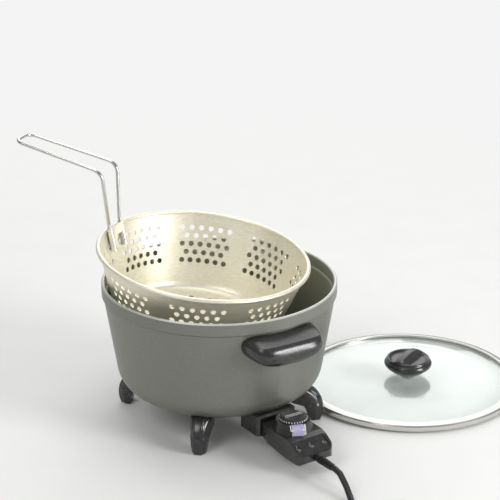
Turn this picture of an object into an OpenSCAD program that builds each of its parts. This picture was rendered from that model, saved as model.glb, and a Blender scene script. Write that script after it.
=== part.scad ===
// Electric soup kettle: round pot on four legs, perforated draining basket,
// glass lid and plug-in heat control with its cord.
// Origin: the pot's axis at table level. +X points to the heat control, +Z up.

/* [Pot] */
// Outer radius of the pot's rim
rim_r = 130; // [128:1:132]
// Height of the rim above the table
rim_z = 160; // [158:1:162]
// Height of the flat underside above the table
base_z = 35; // [34:1:36]
// Outer radius where the wall meets the rounded corner
belly_r = 115; // [114:1:117]
// Radius of the rounded corner between wall and base
corner_r = 30; // [29:1:31]
// Wall thickness of the casting
wall_t = 3.2; // [2.8:0.2:3.4]
// Height of the plain band under the rim
band_h = 14; // [12:1:16]

/* [Handles] */
// Width of a side handle
grip_w = 90; // [86:2:92]
// Height of a side handle
grip_h = 35; // [33:1:37]
// How far a side handle stands out from the line of the wall
grip_out = 37; // [35:1:39]

/* [Legs] */
// Width of a leg at its widest
leg_w = 26; // [24:1:28]
// Width of a leg's foot
foot_w = 16; // [14:1:18]

/* [Basket] */
// Outer radius of the basket's rim bead
basket_r = 119; // [118:0.5:119]
// Depth of the basket under its rim
basket_h = 86; // [84:1:88]
// Radius of the basket's flat bottom
basket_foot_r = 79; // [78:1:80]
// Diameter of a drain hole
hole_d = 6; // [5:0.2:6.4]
// Height of the middle of the hooked basket's rim
basket_z = 187; // [186:0.5:188]
// Tilt of the hooked basket
basket_tilt = 7.4; // [7.3:0.1:7.6]
// Direction of the hook, turned from +X
basket_turn = 213; // [208:1:218]

/* [Basket handle] */
// Diameter of the handle wire
wire_d = 4; // [3.6:0.2:4]
// Distance between the two wires in their sockets
wire_gap = 25; // [24:1:26]
// Distance between the two wires at the bend
wire_spread = 37; // [32:1:38]
// Length of the grip from the sockets to its end
wire_reach = 128; // [110:2:140]
// Height of the bend above the basket's rim
wire_rise = 68; // [64:1:72]

/* [Lid] */
// Outer radius of the lid's metal rim
lid_r = 128; // [127:0.5:128.5]
// Rise of the glass dome above its edge
dome_rise = 6; // [5:1:8]
// Radius of the lid knob
knob_r = 27.5; // [26.5:0.5:28.5]
// Height of the lid knob
knob_h = 26; // [25:0.5:27]

/* [Heat control] */
// Distance of the control's back end from the pot's axis
control_end = 189; // [188:1:191]
// Width of the control
control_w = 46; // [44:1:48]
// Diameter of the temperature dial
dial_d = 31; // [29:1:31]
// Length of the probe in front of the control's nose
probe_l = 52; // [48:1:54]

/* [Cord] */
// Diameter of the cord
cord_d = 6.5; // [6:0.5:6.5]

/* [Hidden] */
$fn = 72;

gap = 0.2;               // air between neighbouring pieces
lean = 9;                // lean of the pot's wall from upright
base_t = 3.6;            // thickness of the pot's base
base_r = belly_r - corner_r;
band_z = rim_z - band_h;
shoulder = 1.8;          // step from the wall out to the rim band
neck_r = rim_r - shoulder;
service_z = 28.5;        // height of the element, terminals and probe
element_r = 70;          // radius of the heating element's ring
tube_r = 3.75;           // radius of the element's sheath
pin_y = 12;              // terminals stand this far to each side
pin_r = 2.4;
guard_back = 77;         // inner face of the guard
guard_x = 114;           // outer face of the guard
guard_w = 50;
guard_low = 19.5;
guard_top = 42;
guard_screw = [84.4, 20.6];
guard_screw_pocket = 2.3;
leg_ring = 92;           // radius of the leg screws
screw_r = 2.4;
boss_low = 28;           // underside of the leg bosses
nose_x = 90;             // tip of the control's nose inside the guard
nose_w = 40;
nose_low = service_z - 6.2;
nose_high = service_z + 5.8;
case_low = 15.5;         // underside of the control at its back
case_front_low = 20;     // and beside the guard
case_floor = 22.4;       // floor inside the control's base
case_split = 26;         // joint line between the control's base and cover
case_top = 38;
case_wall = 3;
panel_x = 172;           // where the control's back starts to slope
panel_drop = 2.2;        // fall of the top edge in front of the slope
panel_low = 25.5;        // height of the control's back end
turret_r = 18.5;
turret_top = 48;
dial_x = 144;
dial_high = 53;
spindle_low = 30;
lamp_turn = -20;         // direction of the pilot lamp's window, seen from the dial
window_w = 13.4;
probe_r = 2.5;
screws_x = 178;          // screws of the control's cover
screws_y = 16.8;
screw_seat = 28.6;
cord_z = 21;             // height at which the cord leaves the control
grip_x = 118;            // line from which a side handle's section is measured
grip_z = 134;
post_x = 139;            // screw post inside a side handle
lid_x = 66;              // centre of the lid on the table
lid_y = 217;
glass_t = 3.6;
glass_edge = 8;          // height of the top of the glass at the lid's rim
wall_slope = (basket_r - 3.4 - basket_foot_r - 11) / (basket_h - 14);
wall_lean = atan(wall_slope);
hook_at = 18.4;          // the hooked basket sits this far off the pot's axis
sheet_t = 1.2;
socket_x = basket_r - 9; // the wire sockets' distance from the basket's axis, just under its rim
socket_low = -24;
socket_top = 3.5;
wire_bend = 14;          // radius of the wire's bends
coil_x = 356;
coil_y = 4;
coil_r = 35;             // radius of the middle of the coil's turns
top_turn_from = -90;     // where the cord climbs on top of its first turns
top_turn = 240;
tie_at = 60;
plug_at = 150;
handle_turn = -1.5;      // the side handles sit this far off the X axis

// The cord's centreline from the strain relief to the coil, as round figures.
cord_start = control_end + 26.2;
cord_route = [[cord_start, 0, cord_z], [cord_start + 6, 0, cord_z], [229, 0, 19.4], [236, -1, 15.6],
    [243, -2, 11.2], [250, -4, 7.4], [258, -7, 4.8], [268, -11, 3.6],
    [279, -16, 3.4], [291, -21, 3.4], [303, -26, 3.4], [316, -30, 3.4],
    [329, -33, 3.4], [342, -34, 3.4], [356, -34, 3.4]];

// Points of an arc about c, from angle a to angle b.
function arc(c, r, a, b, n = 8) =
    [for (i = [0:n]) c + r * [cos(a + (b - a) * i / n), sin(a + (b - a) * i / n)]];
function unit(v) = v / norm(v);
// Direction of a path at point i, and the side it turns to.
function along(p, i) = unit(p[min(i + 1, len(p) - 1)] - p[max(i - 1, 0)]);
function left(d) = [-d.y, d.x];
// A path moved sideways by d, and the closed outline of a wall t thick along it.
function beside(p, d) = [for (i = [0:len(p) - 1]) p[i] + d * left(along(p, i))];
function wall(p, t) = concat(p, [for (i = [len(p) - 1:-1:0]) beside(p, t)[i]]);
function backwards(p) = [for (i = [len(p) - 1:-1:0]) p[i]];
// The rounded corner at q of a wire that comes from p and goes to s.
function rounded(p, q, s, r, n = 6) =
    let (t = unit(q - p), u = unit(s - q), turn = acos(t * u), inward = unit(u - t * (t * u)))
        [for (i = [0:n]) let (b = turn * i / n)
            q - r * tan(turn / 2) * t + r * (inward * (1 - cos(b)) + t * sin(b))];

// Outer and inner outlines of the pot, from the axis to the rim.
pot_outer = concat([[0, base_z]], arc([base_r, base_z + corner_r], corner_r, -90, -lean, 10),
    [[neck_r, band_z - 1], [rim_r, band_z + 0.6], [rim_r, rim_z - 1.2], [rim_r - 1.2, rim_z]]);
pot_inner = concat([[0, base_z + base_t]],
    arc([base_r, base_z + corner_r], corner_r - wall_t, -90, -lean, 10),
    [[neck_r - wall_t, band_z - 1], [rim_r - wall_t - 0.6, band_z + 1], [rim_r - wall_t - 0.6, rim_z - 1],
     [rim_r - wall_t + 0.4, rim_z]]);

// Radius of the pot's outer wall at height z.
function pot_wall(z) = neck_r - (band_z - 1 - z) * tan(lean);

// The pot's outside, grown by g, as a solid of revolution.
module pot_form(g = 0) {
    rotate_extrude()
        polygon(concat([[0, base_z - g]],
            [for (i = [1:len(pot_outer) - 1]) pot_outer[i] + g * left(-along(pot_outer, i))],
            [[rim_r, rim_z + g], [0, rim_z + g]]));
}

module rod(r, from, to) {
    d = to - from;
    translate(from) rotate([0, acos(d.z / norm(d)), atan2(d.y, d.x)]) cylinder(r = r, h = norm(d));
}

// A screw that points up, its head below z = 0.
module pan_screw(r, l, head_r, head_h) {
    difference() {
        union() {
            cylinder(r = r, h = l);
            translate([0, 0, -head_h]) cylinder(r = head_r, h = head_h);
        }
        for (a = [0, 90]) rotate(a) translate([0, 0, -head_h]) cube([head_r * 1.3, 1, 2], center = true);
    }
}

// Joins cross-sections of equally many points into one closed polyhedron.
module loft(sections) {
    n = len(sections);
    m = len(sections[0]);
    sleeve = [for (i = [0:n - 2], k = [0:m - 1])
        let (a = i * m + k, b = i * m + (k + 1) % m) each [[a, a + m, b + m], [a, b + m, b]]];
    caps = [[for (k = [0:m - 1]) k], [for (k = [m - 1:-1:0]) (n - 1) * m + k]];
    polyhedron([for (s = sections) each s], concat(sleeve, caps), convexity = 6);
}

// A round tube swept along a route.
module swept_tube(route, r, sides) {
    function section(i) = let (t = along(route, i), u = unit(cross([0, 0, 1], t)), v = cross(t, u))
        [for (k = [0:sides - 1]) route[i] + r * (cos(k * 360 / sides) * u + sin(k * 360 / sides) * v)];
    loft([for (i = [0:len(route) - 1]) section(i)]);
}

module at_legs() {
    for (a = [45:90:315]) rotate(a) translate([leg_ring, 0, 0]) children();
}

// ---------- pot ----------

module element_ring(r) {
    rotate([0, 0, 14]) rotate_extrude(angle = 332) translate([element_r, service_z - 0.5]) circle(r);
}

module pot() {
    color("dimgray") difference() {
        union() {
            rotate_extrude() polygon(concat(pot_outer, backwards(pot_inner)));
            // raised ring that carries the heating element, open in front of the control
            difference() {
                rotate_extrude() translate([element_r - 6, service_z - 0.5])
                    square([12, base_z - service_z + 1.1]);
                translate([element_r - 12, -25, 0]) cube([30, 50, base_z - 0.1]);
            }
            // block of the sensor well
            translate([36, -7, service_z - 6]) cube([40, 14, base_z - service_z + 6.1]);
            // bosses for the legs' screws and the guard's
            at_legs() translate([0, 0, boss_low]) cylinder(r = 7, h = base_z - boss_low + 2);
            for (y = [-1, 1]) translate([guard_screw.x, y * guard_screw.y, boss_low])
                cylinder(r = 3.6, h = base_z - boss_low + 1);
        }
        element_ring(tube_r + 0.05);
        translate([35, 0, service_z]) rotate([0, 90, 0]) cylinder(r = probe_r + 0.1, h = 42);
        at_legs() translate([0, 0, boss_low - 1]) cylinder(r = screw_r, h = 9);
        for (y = [-1, 1]) translate([guard_screw.x, y * guard_screw.y, boss_low - 1])
            cylinder(r = 1.9, h = 8);
    }
}

module heating_element() {
    lead_x = element_r + 4;
    color("silver") {
        element_ring(tube_r);
        for (s = [-1, 1]) {
            rod(tube_r + 0.2, [element_r * cos(17), s * element_r * sin(17), service_z - 0.5],
                [lead_x, s * pin_y, service_z]);
            translate([lead_x, s * pin_y, service_z]) sphere(r = tube_r + 0.5);
            translate([lead_x, s * pin_y, service_z]) rotate([0, 90, 0]) cylinder(r = tube_r + 0.35, h = 3.4);
        }
    }
}

module terminal_insulators() {
    color("ivory") for (s = [-1, 1]) translate([element_r + 7.6, s * pin_y, service_z]) rotate([0, 90, 0])
        difference() {
            cylinder(r = 4.8, h = 6);
            translate([0, 0, -1]) cylinder(r = pin_r, h = 8);
        }
}

module terminal_pins() {
    color("gainsboro") for (s = [-1, 1])
        translate([element_r + 7.6, s * pin_y, service_z]) rotate([0, 90, 0]) {
            cylinder(r = pin_r, h = 30);
            translate([0, 0, 30]) cylinder(r1 = pin_r, r2 = pin_r - 1, h = 2);
        }
}

// ---------- guard ----------

module control_guard() {
    half = guard_w / 2;
    color("#2c2d2e") difference() {
        translate([0, 0, guard_low]) linear_extrude(guard_top - guard_low)
            polygon([[guard_back, 4 - half], [guard_back + 4, -half], [guard_x - 3, -half],
                [guard_x, 3 - half], [guard_x, half - 3], [guard_x - 3, half], [guard_back + 4, half],
                [guard_back, half - 4]]);
        pot_form(gap);
        // mouth for the control's nose
        translate([nose_x - 1, -nose_w / 2 - 0.5, nose_low - 0.4])
            cube([40, nose_w + 1, nose_high - nose_low + 0.8]);
        // pocket around the sensor well and the element's ends
        translate([60, -17, nose_low - 0.4]) cube([24.4, 34, 40]);
        for (y = [-1, 1]) translate([guard_screw.x, y * guard_screw.y, guard_low - 1]) {
            translate([0, 0, boss_low - guard_low + 0.8]) cylinder(r = 3.8, h = 30);
            cylinder(r = 2.3, h = 40);
            cylinder(r = 3.6, h = 1 + guard_screw_pocket);
        }
        for (y = [-1, 1]) translate([80, y * pin_y, service_z]) rotate([0, 90, 0]) cylinder(r = 2.9, h = 20);
        translate([80, 0, service_z]) rotate([0, 90, 0]) cylinder(r = 4, h = 20);
        // chamfer along the top's outer edge
        translate([guard_x - 3, -40, guard_top]) rotate([0, 30, 0]) cube([20, 80, 10]);
        at_legs() cylinder(r = 10, h = 60);
    }
}

module guard_screws() {
    color("silver") for (y = [-1, 1])
        translate([guard_screw.x, y * guard_screw.y, guard_low + guard_screw_pocket])
            pan_screw(1.85, 12.6, 3.3, 2);
}

// ---------- side handles ----------

// Half sections of the grip and of the hollow under it, from the wall over the top to the front.
grip_section = [[0, 12.3], [15, 8.7], [29, 5.4], [31.5, 3.8], [grip_out - 1.6, -1], [grip_out, -7],
    [grip_out - 1.4, -13.5], [grip_out - 6, 12 - 0.9 * grip_h], [24, 12 - 0.965 * grip_h], [12, 12 - grip_h],
    [0, 12 - grip_h]];
hollow_section = [[0, 8.6], [14, 5.3], [27, 2.2], [30.5, -1.5], [grip_out - 3.7, -7], [grip_out - 4.5, -12],
    [grip_out - 7.5, -16], [grip_out - 8, -45], [12, -45], [0, -45]];

// Sections across the grip: nearly straight along the top and front, rounder underneath.
function grip_sections(section, w, n = 22) = [for (i = [0:n])
    let (t = -0.998 * cos(180 * i / n), upper = sqrt(1 - pow(t, 4)), lower = sqrt(1 - t * t))
        [for (p = section) [grip_x + p.x * upper, t * w / 2, grip_z + p.y * (p.y > 0 ? upper : lower)]]];

// The space for the fingers under the grip.
module grip_hollow() {
    intersection() {
        rotate([90, 0, 0]) linear_extrude(grip_w * 0.74, center = true)
            polygon([for (p = hollow_section) [grip_x + p.x, grip_z + p.y]]);
        translate([grip_x, 0, grip_z - 60]) linear_extrude(100)
            polygon([[-30, -grip_w / 2], [8, -grip_w / 2], [22, -grip_w * 0.35],
                [grip_out - 4, -grip_w * 0.2], [grip_out - 4, grip_w * 0.2], [22, grip_w * 0.35],
                [8, grip_w / 2], [-30, grip_w / 2]]);
    }
}

module handle() {
    color("#303133") difference() {
        union() {
            difference() {
                loft(grip_sections(grip_section, grip_w));
                grip_hollow();
                pot_form(gap);
            }
            // post for the screw
            translate([post_x, 0, grip_z - 10]) cylinder(r = 4.5, h = 15.4);
        }
        translate([post_x, 0, grip_z - 11]) cylinder(r = 1.9, h = 8.5);
    }
}

module bracket() {
    plate_z = grip_z - 11.9;
    color("silver") {
        rotate([0, 0, -8]) rotate_extrude(angle = 16)
            polygon([for (p = [[0.05, -18], [2, -18], [2, 2], [0.05, 2]])
                [pot_wall(grip_z + p.y) + p.x, grip_z + p.y]]);
        difference() {
            translate([pot_wall(plate_z) + 0.6, -8, plate_z]) cube([21, 16, 1.6]);
            translate([post_x, 0, plate_z - 1]) cylinder(r = 2.2, h = 6);
        }
    }
}

module handle_screws() {
    color("silver") for (a = [0, 180]) rotate(a + handle_turn) translate([post_x, 0, grip_z - 12])
        pan_screw(1.85, 8.5, 3.6, 2);
}

// ---------- legs ----------

// Outline of a leg or its band from the side, its outer edge on a circle of radius r.
function leg_side(r) = concat(
    [[leg_ring - 9, base_z + 1], [leg_ring - 9, 21], [leg_ring + 6, 18], [102, 9], [103.5, 0]],
    arc([belly_r - 28, 13], r, -asin(13 / r), 66, 10));

module leg() {
    color("#2b2c2e") difference() {
        intersection() {
            union() {
                rotate([90, 0, 0]) linear_extrude(leg_w, center = true) polygon(leg_side(29));
                rotate([90, 0, 0]) linear_extrude(10, center = true) polygon(leg_side(31.5));
            }
            rotate([90, 0, 90]) linear_extrude(belly_r + 20)
                polygon([[-foot_w / 2, 0], [foot_w / 2, 0], [foot_w / 2 + 1.6, 12], [leg_w / 2 - 1, 27],
                    [leg_w / 2, 36], [leg_w / 2 - 4, 48], [4 - leg_w / 2, 48], [-leg_w / 2, 36],
                    [1 - leg_w / 2, 27], [-foot_w / 2 - 1.6, 12]]);
        }
        pot_form(gap);
        // hollows beside the rib
        for (s = [-1, 1]) rod(9.5, [122.5, s * 17, 48], [124.5, s * 14.4, -2]);
        // seat on the boss, and the screw's passage
        translate([leg_ring, 0, boss_low - gap]) cylinder(r = 7.3, h = 40);
        translate([leg_ring, 0, -1]) cylinder(r = screw_r + 0.3, h = 60);
        translate([leg_ring, 0, -1]) cylinder(r = 5.2, h = boss_low - 3);
    }
}

module leg_screws() {
    color("silver") at_legs() translate([0, 0, boss_low - 4.1]) pan_screw(screw_r - 0.1, 10, 4.6, 2.4);
}

// ---------- basket ----------

// Places children on the hooked basket: local +X points to the hook, local z = 0 is the rim's middle.
module hooked() {
    rotate([0, 0, basket_turn]) translate([hook_at, 0, basket_z]) rotate([0, -basket_tilt, 0]) children();
}

// Places children at the wire sockets, with z running up along the basket's leaning wall.
module at_wall() {
    hooked() translate([socket_x, 0, 0]) rotate([0, wall_lean, 0]) children();
}

wall_foot = [basket_foot_r + 12 * cos(wall_lean), -basket_h + 12 - 12 * sin(wall_lean)];
wall_head = [basket_r - 3.4, -3];
basket_path = concat([[0, -basket_h]], arc([basket_foot_r, -basket_h + 12], 12, -90, -wall_lean, 6),
    [wall_head]);

// Outer radius of the basket's wall at local height z.
function basket_wall(z) =
    wall_head.x + (z - wall_head.y) * (wall_head.x - wall_foot.x) / (wall_head.y - wall_foot.y);

// Centreline of the bail on the basket: straight in each socket, then a splayed leg, a bend and the grip.
function on_wall(y, up) = [socket_x + up * sin(wall_lean), y, up * cos(wall_lean)];
bend_out = 14.5;         // the bend stands this far out from the sockets
grip_rise = 7.5;         // the grip's end lies this much above the bend
end_gap = 31;            // distance between the two wires at the grip's end
end_bend = 10;
function bail_corner(s) = [
    on_wall(s * wire_gap / 2, socket_low + 2.5),
    on_wall(s * wire_gap / 2, socket_top + 4),
    [socket_x + bend_out, s * wire_spread / 2, wire_rise],
    [socket_x + wire_reach - wire_d / 2, s * end_gap / 2, wire_rise + grip_rise]];
function bail_half(c, far) = concat([c[0]], rounded(c[0], c[1], c[2], wire_bend, 2),
    rounded(c[1], c[2], c[3], wire_bend, 8), rounded(c[2], c[3], far, end_bend, 8));
bail_path = concat(bail_half(bail_corner(-1), bail_corner(1)[3]),
    backwards(bail_half(bail_corner(1), bail_corner(-1)[3])));

module basket_shell() {
    groups = 8;
    pitch = 11 / (basket_r - 10) * 180 / PI;
    color("gainsboro") hooked() difference() {
        union() {
            rotate_extrude() polygon(wall(basket_path, sheet_t));
            rotate_extrude() translate([basket_r - 2.6, -2.6]) circle(2.6);
        }
        // side holes: groups of staggered rows
        for (g = [0:groups - 1], row = [0:4], i = [0:5 - row % 2])
            let (z = -18 - row * 9, a = (g + 0.5) * 360 / groups + (i - 2.5 + (row % 2) / 2) * pitch)
                rotate(a) translate([basket_wall(z), 0, z]) rotate([0, 90 + wall_lean, 0])
                    cylinder(d = hole_d, h = 12, center = true, $fn = 24);
        // bottom holes: rings
        for (ring = [1:3], i = [0:ring * 6 - 1])
            rotate(i * 60 / ring) translate([ring * 21, 0, -basket_h - 5])
                cylinder(d = hole_d, h = 12, $fn = 24);
        // rivet holes behind the bracket
        for (y = [-1, 1]) translate([basket_wall(-18), y * 5, -18]) rotate([0, 90 + wall_lean, 0])
            cylinder(r = 1.6, h = 12, center = true);
    }
}

// Bent sheet bracket inside the basket: two curled sockets for the wire and a strap across their fronts.
module basket_bracket() {
    color("silver") difference() {
        union() {
            at_wall() {
                for (s = [-1, 1]) translate([0, s * wire_gap / 2, socket_low])
                    cylinder(r = 3.4, h = socket_top - socket_low);
                translate([-3.6, -wire_gap / 2, -7]) cube([1.4, wire_gap, 11]);
                translate([2, -wire_gap / 2, socket_low]) cube([1.3, wire_gap, 19]);
            }
        }
        at_wall() for (s = [-1, 1]) translate([0, s * wire_gap / 2, socket_low + 2])
            cylinder(r = wire_d / 2 + 0.08, h = 40);
        hooked() for (y = [-1, 1]) translate([basket_wall(-18), y * 5, -18]) rotate([0, 90 + wall_lean, 0])
            cylinder(r = 1.6, h = 30, center = true);
    }
}

// The space that the hooked basket takes up, grown by g.
module basket_space(g) {
    hooked() {
        rotate_extrude() polygon(concat([[0, -basket_h - g]], [for (i = [1:len(basket_path) - 1])
            basket_path[i] - g * left(along(basket_path, i))], [[0, -3]]));
        rotate_extrude() translate([basket_r - 2.6, -2.6]) circle(2.6 + g);
    }
}

// Strip outside the basket that ends in the hook over the pot's rim.
module basket_hook() {
    color("silver") {
        hooked() difference() {
            rotate([0, 0, -7]) rotate_extrude(angle = 14)
                polygon([for (p = [[0.1, -40], [0.1, -8], [1.3, -8], [1.3, -40]])
                    [basket_wall(p.y) + p.x, p.y]]);
            for (y = [-1, 1]) translate([basket_wall(-18), y * 5, -18]) rotate([0, 90 + wall_lean, 0])
                cylinder(r = 1.6, h = 12, center = true);
        }
        difference() {
            rotate([0, 0, basket_turn - 6]) rotate_extrude(angle = 12)
                polygon([[rim_r - 5.2, rim_z + 0.3], [rim_r + 1, rim_z + 0.3], [rim_r + 1, rim_z - 9],
                    [rim_r + 2.2, rim_z - 9], [rim_r + 2.2, rim_z + 1.6], [rim_r - 5.2, rim_z + 1.6]]);
            basket_space(0.1);
        }
    }
}

module basket_rivets() {
    color("silver") hooked() for (y = [-1, 1])
        translate([basket_wall(-18), y * 5, -18]) rotate([0, 90 + wall_lean, 0]) {
            translate([0, 0, -5]) cylinder(r = 1.55, h = 6.2);
            translate([0, 0, -5.5]) cylinder(r1 = 2, r2 = 2.8, h = 0.9);
        }
}

// Wire bail: two legs in the sockets, a bend, and a long grip closed by a half ring.
module basket_handle() {
    color("silver") hooked() swept_tube(bail_path, wire_d / 2, 14);
}

// ---------- lid ----------

glass_r = lid_r - 5;
// Height of the glass's upper face at radius r: a flat crown that falls to the edge.
function dome(r) = glass_edge + dome_rise * (1 - pow(r / glass_r, 2.4));
glass_outline = concat([for (i = [0:10]) [glass_r * i / 10, dome(glass_r * i / 10)]],
    [for (i = [10:-1:0]) [glass_r * i / 10, dome(glass_r * i / 10) - glass_t]]);

module at_lid(z = 0) {
    translate([lid_x, lid_y, z]) children();
}

module lid_glass() {
    color("lightcyan", 0.4) at_lid() difference() {
        rotate_extrude() polygon(glass_outline);
        cylinder(r = 3.4, h = 40);
    }
}

module lid_rim() {
    color("silver") at_lid() difference() {
        rotate_extrude() polygon([[lid_r - 9, 0.8], [lid_r - 8, 0], [lid_r - 5.5, 0], [lid_r - 4, 2],
            [lid_r - 1, 2.4], [lid_r, 3.6], [lid_r, 8], [lid_r - 1.4, 9.4], [lid_r - 6, 10.4],
            [lid_r - 9, 10.6]]);
        rotate_extrude() polygon(glass_outline);
        translate([0, 0, -1]) cylinder(r = lid_r - 8.6, h = glass_edge - glass_t);
    }
}

module lid_knob() {
    scoop = 14;
    shoulder_z = 17;
    top_r = knob_r - 2.5;
    color("#2c2d2f") at_lid(glass_edge + dome_rise + 1.3) rotate([0, 0, 115]) difference() {
        rotate_extrude() polygon(concat(
            [[0, 0], [12, 0], [14.5, 1], [20, 4.6], [knob_r - 1.9, 9.2], [knob_r, 13], [knob_r - 0.9, 15.6]],
            [for (a = [0:10:80]) [top_r * cos(a), shoulder_z + (knob_h - shoulder_z) * sin(a)]],
            [[0, knob_h]]));
        // two finger scoops that leave a bar across the top
        for (s = [-1, 1]) translate([0, s * (scoop + 3.5), shoulder_z + scoop + 0.5]) rotate([0, 90, 0])
            cylinder(r = scoop, h = 80, center = true);
        translate([0, 0, -1]) cylinder(r = 2.5, h = 12);
    }
}

module knob_seat() {
    color("#46474a") at_lid(glass_edge + dome_rise + 0.1) difference() {
        cylinder(r = 10.5, h = 1.1);
        translate([0, 0, -1]) cylinder(r = 3, h = 4);
    }
}

module knob_screw() {
    color("silver") at_lid(glass_edge + dome_rise - glass_t - 0.3) {
        cylinder(r = 2.45, h = 14);
        translate([0, 0, -2.4]) cylinder(r = 7, h = 2.4);
    }
}

// ---------- heat control ----------

case_outline = concat([[guard_x + 1, 3 - control_w / 2], [guard_x + 16, -control_w / 2]],
    arc([control_end - 9, 9 - control_w / 2], 9, -90, 0, 6),
    arc([control_end - 9, control_w / 2 - 9], 9, 0, 90, 6),
    [[guard_x + 16, control_w / 2], [guard_x + 1, control_w / 2 - 3]]);

// The control's outside between two heights, with its sloping back.
module case_form(low, high) {
    intersection() {
        translate([0, 0, low]) linear_extrude(high - low) polygon(case_outline);
        rotate([90, 0, 0]) linear_extrude(control_w + 2, center = true)
            polygon([[guard_x, case_front_low], [panel_x - 12, case_low], [control_end - 3, case_low],
                [control_end + 1, case_low + 3],
                [control_end + 1, panel_low - 0.2], [control_end, panel_low],
                [panel_x, case_top - panel_drop], [panel_x - 8, case_top], [guard_x + 5, case_top],
                [guard_x, case_top - 2]]);
    }
}

// Places children on the sloping back, with z = 0 on its surface.
module on_panel() {
    slope = atan((case_top - panel_drop - panel_low) / (control_end - panel_x));
    translate([screws_x, 0, case_top - panel_drop - (screws_x - panel_x) * tan(slope)])
        rotate([0, slope, 0]) children();
}

// Places children at the pilot lamp, with x measured from the dial's axis.
module at_lamp(z = 0) {
    translate([dial_x, 0, z]) rotate(lamp_turn) children();
}

module cord_passage() {
    translate([control_end - 4.8, 0, cord_z]) rotate([0, 90, 0]) cylinder(r = 4.9, h = 2.6);
    translate([control_end - 20, 0, cord_z]) rotate([0, 90, 0]) cylinder(r = 4.3, h = 30);
}

module control_cover() {
    inner_y = control_w / 2 - case_wall;
    inner_top = case_top - 3.5;
    inner_low = case_split - 2;
    color("#2b2b2d") difference() {
        union() {
            case_form(case_split + 0.1, case_top);
            intersection() {
                translate([dial_x, 0, case_top - 2])
                    cylinder(r1 = turret_r + 8, r2 = turret_r, h = turret_top - case_top + 2);
                case_form(case_split, case_top + 20);
            }
            translate([dial_x, 0, case_top - 2])
                cylinder(r1 = turret_r + 4, r2 = turret_r, h = turret_top - case_top + 2);
            translate([nose_x, -nose_w / 2, nose_low])
                cube([guard_x + 2 - nose_x, nose_w, nose_high - nose_low]);
        }
        // hollow, shallower under the sloping back
        translate([guard_x + 4, -inner_y, inner_low]) cube([50, 2 * inner_y, inner_top - inner_low]);
        translate([guard_x + 4, -inner_y, inner_low]) cube([56, 2 * inner_y, 5]);
        translate([dial_x, 0, case_top - 6]) cylinder(r = 2.6, h = 20);
        // sockets for the pins and the probe's seat
        for (y = [-1, 1]) translate([nose_x - 1, y * pin_y, service_z]) rotate([0, 90, 0])
            cylinder(r = 3.3, h = 32);
        translate([nose_x - 1, 0, service_z]) rotate([0, 90, 0]) cylinder(r = probe_r, h = 32);
        // window for the lamp in front of the dial
        at_lamp(case_top - 8) translate([16, -window_w / 2, 0]) cube([6.2, window_w, 20]);
        // recessed panel with the screws on the sloping back
        on_panel() translate([-0.5, 0, 1.8]) cube([16, 39, 6], center = true);
        for (y = [-1:1]) translate([screws_x, y * screws_y, 0]) {
            cylinder(r = 1.6, h = 60);
            translate([0, 0, screw_seat]) cylinder(r = 3.3, h = 20);
        }
        cord_passage();
    }
}

module control_base() {
    inner_y = control_w / 2 - case_wall;
    color("#29292b") difference() {
        case_form(case_low, case_split);
        translate([guard_x + 4, -inner_y, case_floor]) cube([52, 2 * inner_y, 20]);
        // room for the cover's nose
        translate([guard_x - 1, -nose_w / 2 - 0.3, nose_low - 0.2]) cube([3.3, nose_w + 0.6, 5]);
        for (y = [-1, 1]) translate([guard_x - 1, y * pin_y, service_z]) rotate([0, 90, 0])
            cylinder(r = 3.5, h = 8);
        for (y = [-1, 1]) translate([screws_x, y * screws_y, case_low + 2]) cylinder(r = 1.5, h = 20);
        cord_passage();
    }
}

module control_dial() {
    flutes = 20;
    color("#232426") translate([dial_x, 0, turret_top + 0.4]) difference() {
        union() {
            cylinder(r = dial_d / 2, h = 2);
            translate([0, 0, 2])
                cylinder(r1 = dial_d / 2 - 1.2, r2 = dial_d / 2 - 2.4, h = dial_high - turret_top - 3.4);
            translate([-2, 3.6 - dial_d / 2, 0]) cube([4, dial_d - 7.2, dial_high - turret_top - 0.4]);
        }
        for (i = [0:flutes - 1]) rotate(i * 360 / flutes) translate([dial_d / 2 - 0.4, 0, 2])
            cylinder(r = 1.4, h = 12);
        translate([0, 0, -1]) cylinder(r = 2.4, h = 3.6);
    }
}

module dial_spindle() {
    color("silver") translate([dial_x, 0, spindle_low]) {
        cylinder(r = 2.35, h = turret_top + 2.4 - spindle_low);
        cylinder(r = 5.5, h = 1.6);
    }
}

module pilot_lens() {
    color("#b8b4d0") at_lamp() rotate([90, 0, 0]) linear_extrude(window_w - 0.4, center = true)
        polygon([[16.2, case_top - 4], [22, case_top - 4], [22, turret_top - 4.6],
            [19.4, turret_top - 0.3], [16.2, turret_top + 0.3]]);
}

module pilot_lamp() {
    color("orange") at_lamp(30.6) translate([19, -4, 0]) rotate([-90, 0, 0]) cylinder(r = 2, h = 8);
}

module probe() {
    color("silver") translate([nose_x - probe_l, 0, service_z]) rotate([0, 90, 0]) {
        cylinder(r1 = probe_r - 0.8, r2 = probe_r - 0.04, h = 2);
        translate([0, 0, 2]) cylinder(r = probe_r - 0.04, h = probe_l + 24);
    }
}

module control_contacts() {
    color("gold") for (s = [-1, 1]) translate([nose_x + 1, s * pin_y, service_z]) rotate([0, 90, 0])
        difference() {
            cylinder(r = 3.2, h = 28);
            translate([0, 0, -1]) cylinder(r = pin_r + 0.1, h = 23);
        }
}

module thermostat_frame() {
    color("silver") {
        translate([121, -12, case_floor]) cube([30, 24, 2]);
        translate([122, -10, case_floor + 1]) cube([5, 5, 5]);
    }
}

module bimetal_blade() {
    color("goldenrod") translate([122, -10, case_floor + 6.1]) cube([26, 5, 0.8]);
}

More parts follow.
